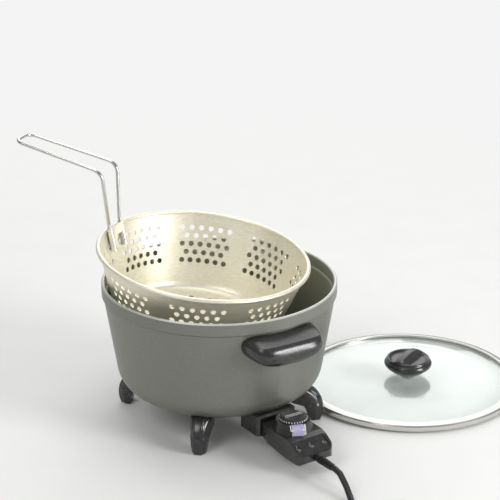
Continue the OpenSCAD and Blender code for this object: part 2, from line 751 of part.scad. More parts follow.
// Two long screws hold the cover on the base, and a short one in the middle holds the panel.
module cover_screws() {
    seat = screw_seat + 0.1;
    color("silver") for (y = [-1:1]) translate([screws_x, y * screws_y, 0]) {
        foot = y == 0 ? cord_z + 5 : case_low + 3;
        translate([0, 0, foot]) cylinder(r = 1.45, h = seat - foot);
        translate([0, 0, seat]) cylinder(r = 3.1, h = 1.3);
    }
}

// ---------- cord ----------

module cord_strain_relief() {
    color("#1f1f20") translate([control_end - 4.6, 0, cord_z]) rotate([0, 90, 0]) difference() {
        union() {
            cylinder(r = 4.75, h = 2.2);
            cylinder(r = 4.2, h = 9);
            translate([0, 0, 9]) cylinder(r1 = 4.6, r2 = 3.9, h = 21.6);
        }
        for (i = [0:3]) translate([0, 0, 12 + i * 4.4]) difference() {
            cylinder(r = 8, h = 1.6);
            translate([0, 0, -1]) cylinder(r = 3.5, h = 4);
        }
    }
}

module power_cord() {
    color("#1f1f20") swept_tube(cord_route, cord_d / 2, 10);
}

// Outer shape of the wound cord: two turns side by side on the table, and most of a turn on top of them.
module cord_coil() {
    turn = cord_d * 1.02;
    color("#1f1f20") translate([coil_x, coil_y, 0]) {
        rotate_extrude() translate([coil_r - turn, 0])
            polygon([[1.5, 0], [2 * turn - 1.5, 0], [2 * turn, 2], [2 * turn, 4.5], [turn + 4, cord_d],
                [turn - 4, cord_d], [0, 4.5], [0, 2]]);
        rotate([0, 0, top_turn_from]) rotate_extrude(angle = top_turn) translate([coil_r, 0])
            polygon([[-4, cord_d - 0.5], [4, cord_d - 0.5], [2, 2 * turn - 0.8], [-2, 2 * turn - 0.8]]);
    }
}

module cord_tie() {
    color("#2e2e30") translate([coil_x, coil_y, 0]) rotate([0, 0, tie_at]) translate([coil_r, 0, 0])
        rotate([90, 0, 0]) linear_extrude(8, center = true) difference() {
            translate([-8.6, 0]) square([17.2, 15.2]);
            translate([-7.2, -1]) square([14.4, 14.9]);
        }
}

// Places children on the coil beside the end of its top turn, with +X along the plug.
module at_plug() {
    translate([coil_x, coil_y, cord_d + 7.4]) rotate([0, 0, plug_at]) translate([coil_r + 1, 16, 0])
        rotate([0, 0, 90]) children();
}

module plug_body() {
    color("#1f1f20") at_plug() hull() {
        translate([-16, -4, -4]) cube([4, 8, 8]);
        translate([-6, -10, -7]) cube([15, 20, 14]);
    }
}

module plug_blades() {
    color("gold") at_plug() for (s = [-1, 1]) translate([9, s * 6.4 - 0.8, -3.2]) cube([14, 1.6, 6.4]);
}

pot();
heating_element();
terminal_insulators();
terminal_pins();
control_guard();
guard_screws();
rotate(handle_turn) handle();  // handle_right
rotate(180 + handle_turn) handle();  // handle_left
rotate(handle_turn) bracket();  // handle_bracket_right
rotate(180 + handle_turn) bracket();  // handle_bracket_left
handle_screws();
rotate(45) leg();  // leg_back_right
rotate(135) leg();  // leg_back_left
rotate(225) leg();  // leg_front_left
rotate(315) leg();  // leg_front_right
leg_screws();
basket_shell();
basket_bracket();
basket_hook();
basket_rivets();
basket_handle();
lid_glass();
lid_rim();
lid_knob();
knob_seat();
knob_screw();
control_cover();
control_base();
control_dial();
dial_spindle();
pilot_lens();
pilot_lamp();
probe();
control_contacts();
thermostat_frame();
bimetal_blade();
cover_screws();
cord_strain_relief();
power_cord();
cord_coil();
cord_tie();
plug_body();
plug_blades();
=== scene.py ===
"""Soup kettle: looks of the assembled kettle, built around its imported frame."""

import math

import bmesh
import bpy
from mathutils import Matrix, Vector


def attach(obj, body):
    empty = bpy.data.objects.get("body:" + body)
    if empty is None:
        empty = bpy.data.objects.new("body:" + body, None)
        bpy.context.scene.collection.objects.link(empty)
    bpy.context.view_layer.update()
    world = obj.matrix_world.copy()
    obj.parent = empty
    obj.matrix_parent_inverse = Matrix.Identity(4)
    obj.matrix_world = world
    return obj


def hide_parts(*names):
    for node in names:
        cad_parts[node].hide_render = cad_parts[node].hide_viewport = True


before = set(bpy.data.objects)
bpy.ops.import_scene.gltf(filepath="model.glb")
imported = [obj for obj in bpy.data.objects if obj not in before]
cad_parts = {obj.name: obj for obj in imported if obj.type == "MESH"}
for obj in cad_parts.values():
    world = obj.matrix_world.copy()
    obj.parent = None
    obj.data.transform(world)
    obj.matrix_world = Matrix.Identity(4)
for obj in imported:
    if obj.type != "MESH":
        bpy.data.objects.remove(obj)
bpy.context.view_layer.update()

bl_info = {
    "name": "Soup kettle",
    "version": (1, 0, 0),
    "blender": (4, 5, 0),
    "location": "View3D > Sidebar > Kettle",
    "description": "Finishes and refined pieces of an electric soup kettle",
    "category": "Object",
}

# Lengths below are in millimetres, and MM turns them to metres.
MM = 0.001

# pot
RIM_R = 130
RIM_Z = 160
BAND_Z = 146           # lower edge of the band under the rim
BASE_Z = 35            # underside
CORNER_R = 30          # round corner between wall and base
CORNER_X = 85          # the corner's centre
NECK_R = 128.2         # wall under the band
AIR = 0.2              # left between the pot and what is moulded to fit it

# side handles
GRIP_X = 118           # line from which a handle's section is measured
GRIP_Z = 134
GRIP_HALF_WIDTH = 45
HANDLE_TURN = -1.5     # both handles sit this many degrees off the X axis

# legs
LEG_R = 29             # arc of a leg's outer side, and its centre
LEG_X = 87
LEG_Z = 13
LEG_TOP = 39.4
LEG_SQUARENESS = 2.8   # 2 would make its section an ellipse
LEG_BAND_OUT = 2.2     # the raised band down its middle
LEG_BAND_HALF_WIDTH = 5.4
LEG_BAND_EDGE = 1.3
LEG_SHAFT_X = 92       # shaft for its screw
LEG_SHAFT_R = 5.2
LEG_SHAFT_TOP = 25

# basket and its wire
BASKET_TURN = 213      # direction of the hook
BASKET_TILT = 7.4
BASKET_OUT = 18.4
BASKET_Z = 187
BASKET_R = 119
BASKET_FOOT_R = 79
BASKET_HEIGHT = 86
# the wall rises straight between its rounded foot and its rolled edge
WALL_LEAN = math.atan((BASKET_R - 3.4 - BASKET_FOOT_R - 11) / (BASKET_HEIGHT - 14))
SOCKET_X = BASKET_R - 9   # the wire's sockets, just under the rim
SOCKET_Y = 12.5
WIRE_R = 2
WIRE_LOW = -21.5       # end of the wire in its socket, along the wall
WIRE_HIGH = 7.5        # where it leaves the wall
WIRE_KNEE = (124.5, 18.5, 68)
WIRE_FAR = (236, 15.5, 75.5)
WIRE_BEND = 14
WIRE_END_BEND = 10

# lid
LID_X = 66
LID_Y = 217
KNOB_Z = 15.3
KNOB_TURN = 115
KNOB_R = 27.5
CROWN_R = 25           # the knob's domed top
CROWN_Z = 17
CROWN_RISE = 9
KNOB_BAR_HALF_WIDTH = 3

# heat control
DIAL_X = 144
DIAL_Z = 48.4
LAMP_TURN = -20        # direction of the pilot window, seen from the dial
DIAL_TICKS = 28
DIAL_START = -240      # direction of the first tick, in degrees
DIAL_RANGE = 300
DIAL_FLUTES = 20
FLUTE_DEPTH = 0.9
MARK_WIDTH = 0.9

# cord
CORD_D = 6.5
COIL_X = 356
COIL_Y = 4
CORD_START = (215.2, 0, 21)


# ---------- colours and nodes ----------

def linear(code):
    """An sRGB hex colour as the linear values that Blender's sockets hold, opaque."""
    parts = [int(code.lstrip("#")[i:i + 2], 16) / 255 for i in (0, 2, 4)]
    return tuple(c / 12.92 if c <= 0.04045 else ((c + 0.055) / 1.055) ** 2.4 for c in parts) + (1.0,)


def add(tree, kind, inputs=None, output=0, stops=(), **settings):
    """Adds a node, makes its settings and colour stops, fills or links its inputs, and gives an output."""
    node = tree.nodes.new(kind)
    for name, value in settings.items():
        setattr(node, name, value)
    for index, (position, colour) in enumerate(stops):
        node.color_ramp.elements[index].position = position
        node.color_ramp.elements[index].color = linear(colour)
    for socket, value in (inputs or {}).items():
        if isinstance(value, bpy.types.NodeSocket):
            tree.links.new(value, node.inputs[socket])
        else:
            node.inputs[socket].default_value = value
    return node.outputs[output] if node.outputs else node


def shader(name, **values):
    """A material with one Principled shader, and its values set on the shader itself."""
    material = bpy.data.materials.new(name)
    material.use_nodes = True
    tree = material.node_tree
    surface = tree.nodes["Principled BSDF"]
    for socket, value in values.items():
        surface.inputs[socket.replace("_", " ")].default_value = value
    return material, tree, surface, add(tree, "ShaderNodeTexCoord", output="Object")


def figured(tree, surface, shade, colours, polish, rough, height, depth_mm, strength):
    """Lets one pattern shade the colour, one vary the roughness and one raise a relief of depth_mm."""
    main, light = colours
    low, high = rough
    depth = depth_mm * MM
    colour = add(tree, "ShaderNodeValToRGB", {"Fac": shade}, "Color", ((0.3, main), (0.7, light)))
    sheen = add(tree, "ShaderNodeMapRange", {"Value": polish, "To Min": low, "To Max": high})
    relief = add(tree, "ShaderNodeBump", {"Height": height, "Distance": depth, "Strength": strength})
    for socket, value in (("Base Color", colour), ("Roughness", sheen), ("Normal", relief)):
        tree.links.new(value, surface.inputs[socket])


# ---------- finishes ----------
# Every noise scale is 1000 over the size of its grains in millimetres.

def nonstick_coating(outside, inside, edge):
    """PTFE nonstick enamel, sprayed on cast aluminium and baked: a satin film with fine metallic flake."""
    material, tree, surface, place = shader("nonstick_coating", Metallic=0.55, Roughness=0.38)
    normal = add(tree, "ShaderNodeTexCoord", output="Normal")
    radial = add(tree, "ShaderNodeVectorMath", {0: place, 1: (1, 1, 0)}, operation="MULTIPLY")
    outward = add(tree, "ShaderNodeVectorMath", {0: radial}, operation="NORMALIZE")
    facing = add(tree, "ShaderNodeVectorMath", {0: normal, 1: outward}, "Value", operation="DOT_PRODUCT")
    upward = add(tree, "ShaderNodeSeparateXYZ", {"Vector": normal}, "Z")
    height = add(tree, "ShaderNodeSeparateXYZ", {"Vector": place}, "Z")
    # the inner wall faces the axis, and the floor inside faces up
    wall = add(tree, "ShaderNodeMapRange", {"Value": facing, "From Min": -0.02, "From Max": -0.06})
    floor = add(tree, "ShaderNodeMapRange", {"Value": upward, "From Min": 0.5, "From Max": 0.6})
    inner = add(tree, "ShaderNodeMath", {0: wall, 1: floor}, operation="MAXIMUM")
    # flake of 0.8 mm, drawn coarser than the real 0.05 mm so that it shows
    flake = add(tree, "ShaderNodeTexNoise", {"Vector": place, "Scale": 1000 / 0.8, "Detail": 3.0})
    outer = add(tree, "ShaderNodeValToRGB", {"Fac": flake}, "Color", ((0.3, outside), (0.7, "#868780")))
    # the inside's coating is dark grey, but it is painted much lighter here: painted light that brightens
    # the pot's inside
    lightened_lining = add(tree, "ShaderNodeValToRGB", {"Fac": flake}, "Color", ((0.3, inside), (0.7, "#bfc2b3")))
    coat = add(tree, "ShaderNodeMix", {"Factor": inner, "A": outer, "B": lightened_lining}, "Result",
               data_type="RGBA")
    # the rim's top 0.9 mm is painted in the lighter edge colour, which fades in over the 0.4 mm below
    paler = add(tree, "ShaderNodeMapRange",
               {"Value": height, "From Min": (RIM_Z - 1.3) * MM, "From Max": (RIM_Z - 0.9) * MM})
    shade = add(tree, "ShaderNodeMix", {"Factor": paler, "A": coat, "B": linear(edge)}, "Result",
                data_type="RGBA")
    # the spray lies a little unevenly, in patches of 6 mm
    patches = add(tree, "ShaderNodeTexNoise", {"Vector": place, "Scale": 1000 / 6, "Detail": 2.0})
    rough = add(tree, "ShaderNodeMapRange", {"Value": patches, "To Min": 0.34, "To Max": 0.46})
    relief = add(tree, "ShaderNodeBump", {"Height": flake, "Distance": 0.02 * MM, "Strength": 0.3})
    for socket, value in (("Base Color", shade), ("Roughness", rough), ("Normal", relief)):
        tree.links.new(value, surface.inputs[socket])
    return material


def phenolic(colour):
    """Phenolic resin, compression moulded: deep black gloss with a slight ripple from the mould."""
    material, tree, surface, place = shader("moulded_phenolic", IOR=1.62)
    # the filler clouds the resin over 5 mm, a little lighter where it is thin
    filler = add(tree, "ShaderNodeTexNoise", {"Vector": place, "Scale": 1000 / 5, "Detail": 3.0})
    # polish that varies over 2.5 mm breaks up the edges of the highlights
    polish = add(tree, "ShaderNodeTexNoise", {"Vector": place, "Scale": 1000 / 2.5, "Detail": 4.0})
    ripple = add(tree, "ShaderNodeTexNoise", {"Vector": place, "Scale": 1000 / 8, "Detail": 1.0})
    figured(tree, surface, filler, (colour, "#2c2d2c"), polish, (0.2, 0.28), ripple, 0.015, 0.12)
    return material


def spun_aluminium(colour):
    """Bare aluminium, drawn and spun: satin rings round the axis, with a light bloom."""
    material, tree, surface, place = shader("spun_aluminium", Metallic=0.6, Roughness=0.45)
    # the spinning tool's rings, drawn 1.6 mm wide, coarser than the real ones so that they show
    along = add(tree, "ShaderNodeMapping", {"Vector": place, "Scale": (0.25, 0.25, 1.0)})
    rings = add(tree, "ShaderNodeTexNoise", {"Vector": along, "Scale": 1000 / 1.6, "Detail": 2.0})
    figured(tree, surface, rings, (colour, "#f0ebda"), rings, (0.34, 0.5), rings, 0.02, 0.2)
    return material


def bright_metal(name, colour, rough, grain_mm=1.2, stretch=(1, 1, 1)):
    """Steel or plated brass, drawn, rolled or plated: a fine grain breaks up its highlights.

    The grain is drawn about 1 mm wide, coarser than the real one, so that it shows. A stretch over 1
    makes it finer along that axis, which leaves streaks across it."""
    material, tree, surface, place = shader(name, Metallic=1.0, Roughness=rough)
    along = add(tree, "ShaderNodeMapping", {"Vector": place, "Scale": stretch})
    streaks = add(tree, "ShaderNodeTexNoise", {"Vector": along, "Scale": 1000 / grain_mm, "Detail": 3.0})
    sheen = (rough * 0.8, rough * 1.3)
    figured(tree, surface, streaks, (colour, "#d8d8d6"), streaks, sheen, streaks, 0.02, 0.3)
    return material


def soda_lime_glass(colour):
    """Soda-lime glass, pressed and tempered: clear with a faint green body and a slight wave."""
    material, tree, surface, place = shader("soda_lime_glass", IOR=1.5, Roughness=0.02,
                                            Transmission_Weight=1.0)
    # the body's colour and the wave of the pressing both vary over 40 mm
    body = add(tree, "ShaderNodeTexNoise", {"Vector": place, "Scale": 1000 / 40, "Detail": 2.0})
    wave = add(tree, "ShaderNodeTexNoise", {"Vector": place, "Scale": 1000 / 40, "Detail": 1.0})
    shade = add(tree, "ShaderNodeValToRGB", {"Fac": body}, "Color", ((0.3, colour), (0.7, "#fcfefd")))
    relief = add(tree, "ShaderNodeBump", {"Height": wave, "Distance": 0.02 * MM, "Strength": 0.1})
    tree.links.new(shade, surface.inputs["Base Color"])
    tree.links.new(relief, surface.inputs["Normal"])
    # light passes straight through to what lies under the lid, as it does through clear glass
    through = add(tree, "ShaderNodeBsdfTransparent", {"Color": linear("#f2f5f4")})
    shadow_ray = add(tree, "ShaderNodeLightPath", output="Is Shadow Ray")
    diffuse_ray = add(tree, "ShaderNodeLightPath", output="Is Diffuse Ray")
    straight = add(tree, "ShaderNodeMath", {0: shadow_ray, 1: diffuse_ray}, operation="MAXIMUM")
    both = add(tree, "ShaderNodeMixShader", {"Fac": straight, 1: surface.outputs[0], 2: through})
    tree.links.new(both, tree.nodes["Material Output"].inputs["Surface"])
    return material


def plastic(name, colour, light, rough):
    """Moulded plastic, rubber or ceramic, and printed ink: fine pores break its sheen."""
    material, tree, surface, place = shader(name, Roughness=rough)
    # pores drawn 1 mm wide, coarser than the real 0.2 mm so that they show
    pores = add(tree, "ShaderNodeTexNoise", {"Vector": place, "Scale": 1000 / 1.0, "Detail": 3.0})
    sheen = (rough * 0.85, rough * 1.2)
    figured(tree, surface, pores, (colour, light), pores, sheen, pores, 0.03, 0.5)
    return material


def dress(material, *nodes):
    """Gives CAD nodes a finish."""
    for name in nodes:
        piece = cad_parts[name]
        piece.data.materials.clear()
        piece.data.materials.append(material)


# ---------- shapes ----------

def unit(v):
    """The direction of v, one unit long."""
    return Vector(v).normalized()


def blend_curve(points, steps):
    """Points on a smooth curve through the given ones."""
    points = [Vector(p) for p in points]
    ends = [2 * points[0] - points[1]] + points + [2 * points[-1] - points[-2]]
    line = []
    for a, b, c, d in zip(ends, ends[1:], ends[2:], ends[3:]):
        for i in range(steps):
            t = i / steps
            slope, curl = c - a, 2 * a - 5 * b + 4 * c - d
            line.append(0.5 * (2 * b + slope * t + curl * t * t + (3 * b - a - 3 * c + d) * t ** 3))
    return line + [points[-1]]


def rounded(p, q, s, r, steps):
    """The rounded corner at q of a wire that comes from p and goes to s."""
    t, u = unit(q - p), unit(s - q)
    turn = t.angle(u)
    inward = unit(u - t * t.dot(u))
    start = q - r * math.tan(turn / 2) * t
    angles = [turn * i / steps for i in range(steps + 1)]
    return [start + r * (inward * (1 - math.cos(a)) + t * math.sin(a)) for a in angles]


def finish_edges(work, mesh, sharp):
    """Shades faces smooth, with hard edges where they meet at more than the sharp angle."""
    for face in work.faces:
        face.smooth = True
    for edge in work.edges:
        edge.smooth = len(edge.link_faces) == 2 and edge.calc_face_angle(0) < math.radians(sharp)
    work.to_mesh(mesh)
    work.free()


def made(name, shape, material, body, replaces=(), sharp=35, place=None):
    """A piece from vertices in millimetres and faces; it rides with a body and stands in for CAD nodes."""
    vertices, faces = shape
    mesh = bpy.data.meshes.new(name)
    work = bmesh.new()
    corners = [work.verts.new(Vector(v) * MM) for v in vertices]
    for face in faces:
        work.faces.new([corners[i] for i in face])
    bmesh.ops.remove_doubles(work, verts=work.verts, dist=1e-6)
    bmesh.ops.recalc_face_normals(work, faces=work.faces)
    finish_edges(work, mesh, sharp)
    piece = bpy.data.objects.new(name, mesh)
    bpy.context.scene.collection.objects.link(piece)
    if material:
        mesh.materials.append(material)
    if place is not None:
        mesh.transform(place)
    if body:
        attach(piece, body)
    if replaces:
        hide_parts(*replaces)
    return piece


def lofted(sections):
    """Closed rings of equally many points, joined and capped."""
    count = len(sections[0])
    vertices = [p for ring in sections for p in ring]
    faces = []
    for i in range(len(sections) - 1):
        for k in range(count):
            a, b = i * count + k, i * count + (k + 1) % count
            faces.append((a, b, b + count, a + count))
    faces += [tuple(range(count))[::-1], tuple(range(len(vertices) - count, len(vertices)))]
    return vertices, faces


def gathered(shapes):
    """Several shapes as one."""
    vertices, faces = [], []
    for points, sides in shapes:
        faces += [tuple(i + len(vertices) for i in side) for side in sides]
        vertices += points
    return vertices, faces


def bar(outline, ends):
    """An outline of (x, z) points drawn from one y to the other."""
    return lofted([[(x, y, z) for x, z in outline] for y in ends])


def turned(profile, steps, bend=None):
    """A profile of (radius, height) pairs turned round the Z axis; bend moves each point."""
    bend = bend or (lambda r, a, z: (r, z))
    sections = []
    for r, z in profile:
        ring = []
        for k in range(steps):
            a = 2 * math.pi * k / steps
            radius, height = bend(r, a, z)
            ring.append((radius * math.cos(a), radius * math.sin(a), height))
        sections.append(ring)
    return lofted(sections)


def carved(piece, cutters, sharp):
    """Cuts the shapes out of the piece and shades it again."""
    for cutter in cutters:
        cut = piece.modifiers.new("cut", "BOOLEAN")
        cut.operation, cut.solver, cut.object = "DIFFERENCE", "EXACT", cutter
    ready = piece.evaluated_get(bpy.context.evaluated_depsgraph_get())
    work = bmesh.new()
    work.from_mesh(ready.to_mesh())
    ready.to_mesh_clear()
    bmesh.ops.remove_doubles(work, verts=work.verts, dist=1e-6)
    piece.modifiers.clear()
    finish_edges(work, piece.data, sharp)
    for cutter in cutters:
        bpy.data.objects.remove(cutter)


def cutter_of(shape):
    """A solid that is only there to be cut out of a piece."""
    return made("cutter", shape, None, None)


def moved(x, y, z):
    """A move in millimetres."""
    return Matrix.Translation((x * MM, y * MM, z * MM))


def about_z(degrees):
    """A turn about the Z axis."""
    return Matrix.Rotation(math.radians(degrees), 4, "Z")


def pot_outside():
    """The pot's outside as a solid, grown by the air that its neighbours leave."""
    line = [(0.01, BASE_Z - AIR)]
    corner = CORNER_R + AIR
    for i in range(15):
        a = math.radians(-90 + 81 * i / 14)
        line.append((CORNER_X + corner * math.cos(a), BASE_Z + CORNER_R + corner * math.sin(a)))
    top = RIM_Z + 5
    line += [(NECK_R + AIR, BAND_Z - 1), (RIM_R + AIR, BAND_Z + 0.6), (RIM_R + AIR, top), (0.01, top)]
    return turned(line, 144)


def wire_tube(name, points, r, material, body, replaces):
    """A round wire along points in metres."""
    curve = bpy.data.curves.new(name, "CURVE")
    curve.dimensions = "3D"
    curve.bevel_depth = r
    curve.bevel_resolution = 6
    curve.use_fill_caps = True
    line = curve.splines.new("POLY")
    line.points.add(len(points) - 1)
    for point, p in zip(line.points, points):
        point.co = (*p, 1)
    line.use_smooth = True
    piece = bpy.data.objects.new(name, curve)
    bpy.context.scene.collection.objects.link(piece)
    curve.materials.append(material)
    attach(piece, body)
    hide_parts(*replaces)
    return piece


# ---------- settings ----------

class KettleFinish(bpy.types.PropertyGroup):
    """Colours of the kettle's finishes, as sRGB hex values"""
    coating: bpy.props.StringProperty(
        name="Coating", description="Colour of the pot's nonstick coating outside", default="#73746d")
    # the inside is painted much lighter than its dark grey coating, as painted light
    inside_painted_lighter: bpy.props.StringProperty(
        name="Inside", description="Colour of the coating inside the pot", default="#adb1a1")
    # the lighter colour painted on the rim's top edge
    rim_edge: bpy.props.StringProperty(
        name="Rim edge", description="Colour of the bare metal edge", default="#c9cac4")
    phenolic: bpy.props.StringProperty(
        name="Phenolic", description="Colour of handles, legs and control", default="#1b1c1b")
    basket: bpy.props.StringProperty(
        name="Basket", description="Colour of the basket's aluminium", default="#e4dfcc")


class CameraSettings(bpy.types.PropertyGroup):
    """Where the camera stands, where it looks and how far it reaches"""
    place: bpy.props.FloatVectorProperty(
        name="Place", description="Where the camera stands", default=(1.547, -0.9855, 0.8975),
        unit="LENGTH", subtype="TRANSLATION")
    aim: bpy.props.FloatVectorProperty(
        name="Aim", description="Where the camera looks", default=(-0.0107, 0.0476, 0.1797),
        unit="LENGTH", subtype="TRANSLATION")
    lens: bpy.props.FloatProperty(
        name="Lens", description="Focal length in millimetres", default=129.1, unit="CAMERA")


# ---------- operators ----------

def aimed(thing, place, aim):
    """Stands a camera or lamp at its place and turns it to its aim."""
    thing.location = place
    thing.rotation_euler = (Vector(aim) - Vector(place)).to_track_quat("-Z", "Y").to_euler()
    bpy.context.scene.collection.objects.link(thing)


class KETTLE_OT_stage(bpy.types.Operator):
    """Adds the camera, the lamps, the world and the floor"""
    bl_idname = "kettle.stage"
    bl_label = "Stage"

    def execute(self, context):
        scene = context.scene
        scene.view_settings.view_transform = "Standard"
        settings = scene.kettle_camera
        camera = bpy.data.objects.new("camera", bpy.data.cameras.new("camera"))
        camera.data.lens = settings.lens
        camera.data.clip_end = 20
        aimed(camera, settings.place, settings.aim)
        scene.camera = camera

        # places and sizes in metres, power in watts
        for name, place, size, power in (
            ("key_light", (0.6, -1.9, 2.0), 1.4, 18),
            ("side_light", (2.0, 1.0, 1.0), 0.9, 30),
            ("glint_light", (2.1, 1.35, 0.32), 0.5, 12),
            ("back_light", (-1.6, 1.0, 1.7), 3.0, 31),
            ("top_light", (-0.2, 0.2, 2.4), 1.4, 10),
        ):
            lamp = bpy.data.lights.new(name, "AREA")
            lamp.shape, lamp.size, lamp.energy = "DISK", size, power
            aimed(bpy.data.objects.new(name, lamp), place, (0, 0, 0.1))

        self.light_world(scene)
        self.lay_floor(scene)
        return {"FINISHED"}

    def light_world(self, scene):
        """The camera sees a white studio, also through the glass, and the kettle is lit more softly."""
        world = bpy.data.worlds.new("studio")
        scene.world = world
        world.use_nodes = True
        tree = world.node_tree
        tree.nodes.clear()
        camera_ray = add(tree, "ShaderNodeLightPath", output="Is Camera Ray")
        through_glass = add(tree, "ShaderNodeLightPath", output="Is Transmission Ray")
        seen = add(tree, "ShaderNodeMath", {0: camera_ray, 1: through_glass}, operation="MAXIMUM")
        soft = add(tree, "ShaderNodeBackground", {"Color": linear("#f2f2f2"), "Strength": 0.42})
        white = add(tree, "ShaderNodeBackground", {"Color": linear("#f4f4f4"), "Strength": 1.0})
        both = add(tree, "ShaderNodeMixShader", {"Fac": seen, 1: soft, 2: white})
        add(tree, "ShaderNodeOutputWorld", {"Surface": both})

    def lay_floor(self, scene):
        """A white table that takes the kettle's shadow."""
        mesh = bpy.data.meshes.new("floor")
        mesh.from_pydata([(-8, -8, 0), (8, -8, 0), (8, 8, 0), (-8, 8, 0)], [], [(0, 1, 2, 3)])
        floor = bpy.data.objects.new("floor", mesh)
        scene.collection.objects.link(floor)
        # emulsion paint, rolled: matt, with clouds of 60 mm that hardly show
        paint, tree, surface, place = shader("matt_paint", Roughness=0.8)
        clouds = add(tree, "ShaderNodeTexNoise", {"Vector": place, "Scale": 1000 / 60, "Detail": 2.0})
        tones = ((0.3, "#e5e5e3"), (0.7, "#e7e7e5"))
        shade = add(tree, "ShaderNodeValToRGB", {"Fac": clouds}, "Color", tones)
        tree.links.new(shade, surface.inputs["Base Color"])
        # away from the kettle the floor runs into the white of the studio
        distance = add(tree, "ShaderNodeVectorMath", {0: place}, "Value", operation="LENGTH")
        away = add(tree, "ShaderNodeMapRange", {"Value": distance, "From Min": 0.55, "From Max": 1.3})
        camera_ray = add(tree, "ShaderNodeLightPath", output="Is Camera Ray")
        seen = add(tree, "ShaderNodeMath", {0: camera_ray, 1: away}, operation="MULTIPLY")
        glow = add(tree, "ShaderNodeEmission", {"Color": linear("#f4f4f4"), "Strength": 1.0})
        both = add(tree, "ShaderNodeMixShader", {"Fac": seen, 1: surface.outputs[0], 2: glow})
        tree.links.new(both, tree.nodes["Material Output"].inputs["Surface"])
        mesh.materials.append(paint)


class KETTLE_OT_pot(bpy.types.Operator):
    """Finishes the pot and every part of phenolic resin, ceramic and plated metal"""
    bl_idname = "kettle.pot"
    bl_label = "Pot"

    def execute(self, context):
        finish = context.scene.kettle_finish
        dress(nonstick_coating(finish.coating, finish.inside_painted_lighter, finish.rim_edge), "pot")
        dress(phenolic(finish.phenolic), "control_guard", "control_cover", "control_base")
        dress(bright_metal("drawn_sheath", "#8d8d8b", 0.35), "heating_element", "probe")
        dress(plastic("steatite_ceramic", "#d8d2c2", "#e6e1d4", 0.55), "terminal_insulators")
        dress(bright_metal("nickel_plated_brass", "#c9b98e", 0.22), "terminal_pins", "control_contacts",
              "bimetal_blade", "plug_blades")
        dress(bright_metal("zinc_plated_steel", "#a9aaa8", 0.32), "guard_screws", "handle_screws",
              "leg_screws", "knob_screw", "cover_screws", "dial_spindle", "handle_bracket_right",
              "handle_bracket_left", "thermostat_frame")
        return {"FINISHED"}


class KETTLE_OT_handles(bpy.types.Operator):
    """Moulds the two side handles: a flat top facet, a crisp ridge and a round front"""
    bl_idname = "kettle.handles"
    bl_label = "Side handles"

    def execute(self, context):
        black = bpy.data.materials["moulded_phenolic"]
        ridge = (31.2, 4.4)
        top = [(0, 12.3), (10, 9.9), (20, 7.5), ridge]
        front = blend_curve([(*ridge, 0), (34.8, 0, 0), (36.6, -6, 0), (36.2, -12, 0), (33.4, -17, 0),
                             (28, -20.6, 0), (20, -22.4, 0), (10, -23, 0)], 4)
        section = top + [(x, z) for x, z, _ in front[1:]] + [(0, -23)]
        rings = []
        for i in range(61):
            # t runs from one end of the handle to the other, and both ends close in a round
            t = -0.998 * math.cos(math.pi * i / 60)
            upper = (1 - t ** 6) ** 0.5
            lower = (1 - abs(t) ** 2.6) ** 0.44
            y = t * GRIP_HALF_WIDTH
            rings.append([(GRIP_X + x * upper, y, GRIP_Z + z * (upper if z > 0 else lower))
                          for x, z in section])
        # room for the fingers, with x from GRIP_X and z from the table: under the top, down behind the
        # front and out at the bottom; it is shallower at its two ends
        room = [(-30, 142.6), (14, 139.3), (27, 136.2), (30.5, 132.5), (33, 127), (32, 122), (29.5, 118),
                (29, 89), (12, 89), (-30, 89)]
        hollow = []
        for y, reach in ((-33, 22), (-19.8, 33), (19.8, 33), (33, 22)):
            hollow.append([(GRIP_X + min(x, reach), y, z) for x, z in room])
        for name, node, turn in (("side_handle_front", "handle_right", HANDLE_TURN),
                                 ("side_handle_back", "handle_left", 180 + HANDLE_TURN)):
            piece = made(name, lofted(rings), black, "kettle", [node], sharp=28)
            carved(piece, [cutter_of(lofted(hollow)), cutter_of(pot_outside())], 28)
            piece.data.transform(about_z(turn))
        return {"FINISHED"}


class KETTLE_OT_legs(bpy.types.Operator):
    """Moulds the four legs, each a round column with a raised band down its middle"""
    bl_idname = "kettle.legs"
    bl_label = "Legs"

    def execute(self, context):
        black = bpy.data.materials["moulded_phenolic"]
        # (height, half width) and (height, distance of the back from the pot's axis)
        widths = [(0, 8), (12, 9.6), (27, 12), (36, 13), (46, 10)]
        backs = [(0, 103.5), (9, 102), (18, 98), (21, 83), (46, 83)]

        def between(table, z):
            for (a, low), (b, high) in zip(table, table[1:]):
                if z <= b:
                    return low + (high - low) * (z - a) / (b - a)
            return table[-1][1]

        rings = []
        for i in range(36):
            z = LEG_TOP * i / 35
            w, back = between(widths, z), between(backs, z)
            out = LEG_X + math.sqrt(LEG_R ** 2 - (z - LEG_Z) ** 2)
            front = []
            for k in range(41):
                y = -w + 2 * w * k / 40
                round_off = max(0, 1 - abs(y / w) ** LEG_SQUARENESS) ** (1 / LEG_SQUARENESS)
                band = min(1, max(0, (LEG_BAND_HALF_WIDTH - abs(y)) / LEG_BAND_EDGE))
                band = band * band * (3 - 2 * band)
                front.append((back + (out - back) * round_off + LEG_BAND_OUT * band, y, z))
            rings.append(front)
        for name, turn in (("leg_back_right", 45), ("leg_back_left", 135), ("leg_front_left", 225),
                           ("leg_front_right", 315)):
            piece = made("moulded_" + name, lofted(rings), black, "kettle", [name], sharp=40)
            bore = [(0.01, -1), (LEG_SHAFT_R, -1), (LEG_SHAFT_R, LEG_SHAFT_TOP), (0.01, LEG_SHAFT_TOP)]
            shaft = cutter_of(turned(bore, 32))
            shaft.data.transform(moved(LEG_SHAFT_X, 0, 0))
            carved(piece, [cutter_of(pot_outside()), shaft], 40)
            piece.data.transform(about_z(turn))
        return {"FINISHED"}


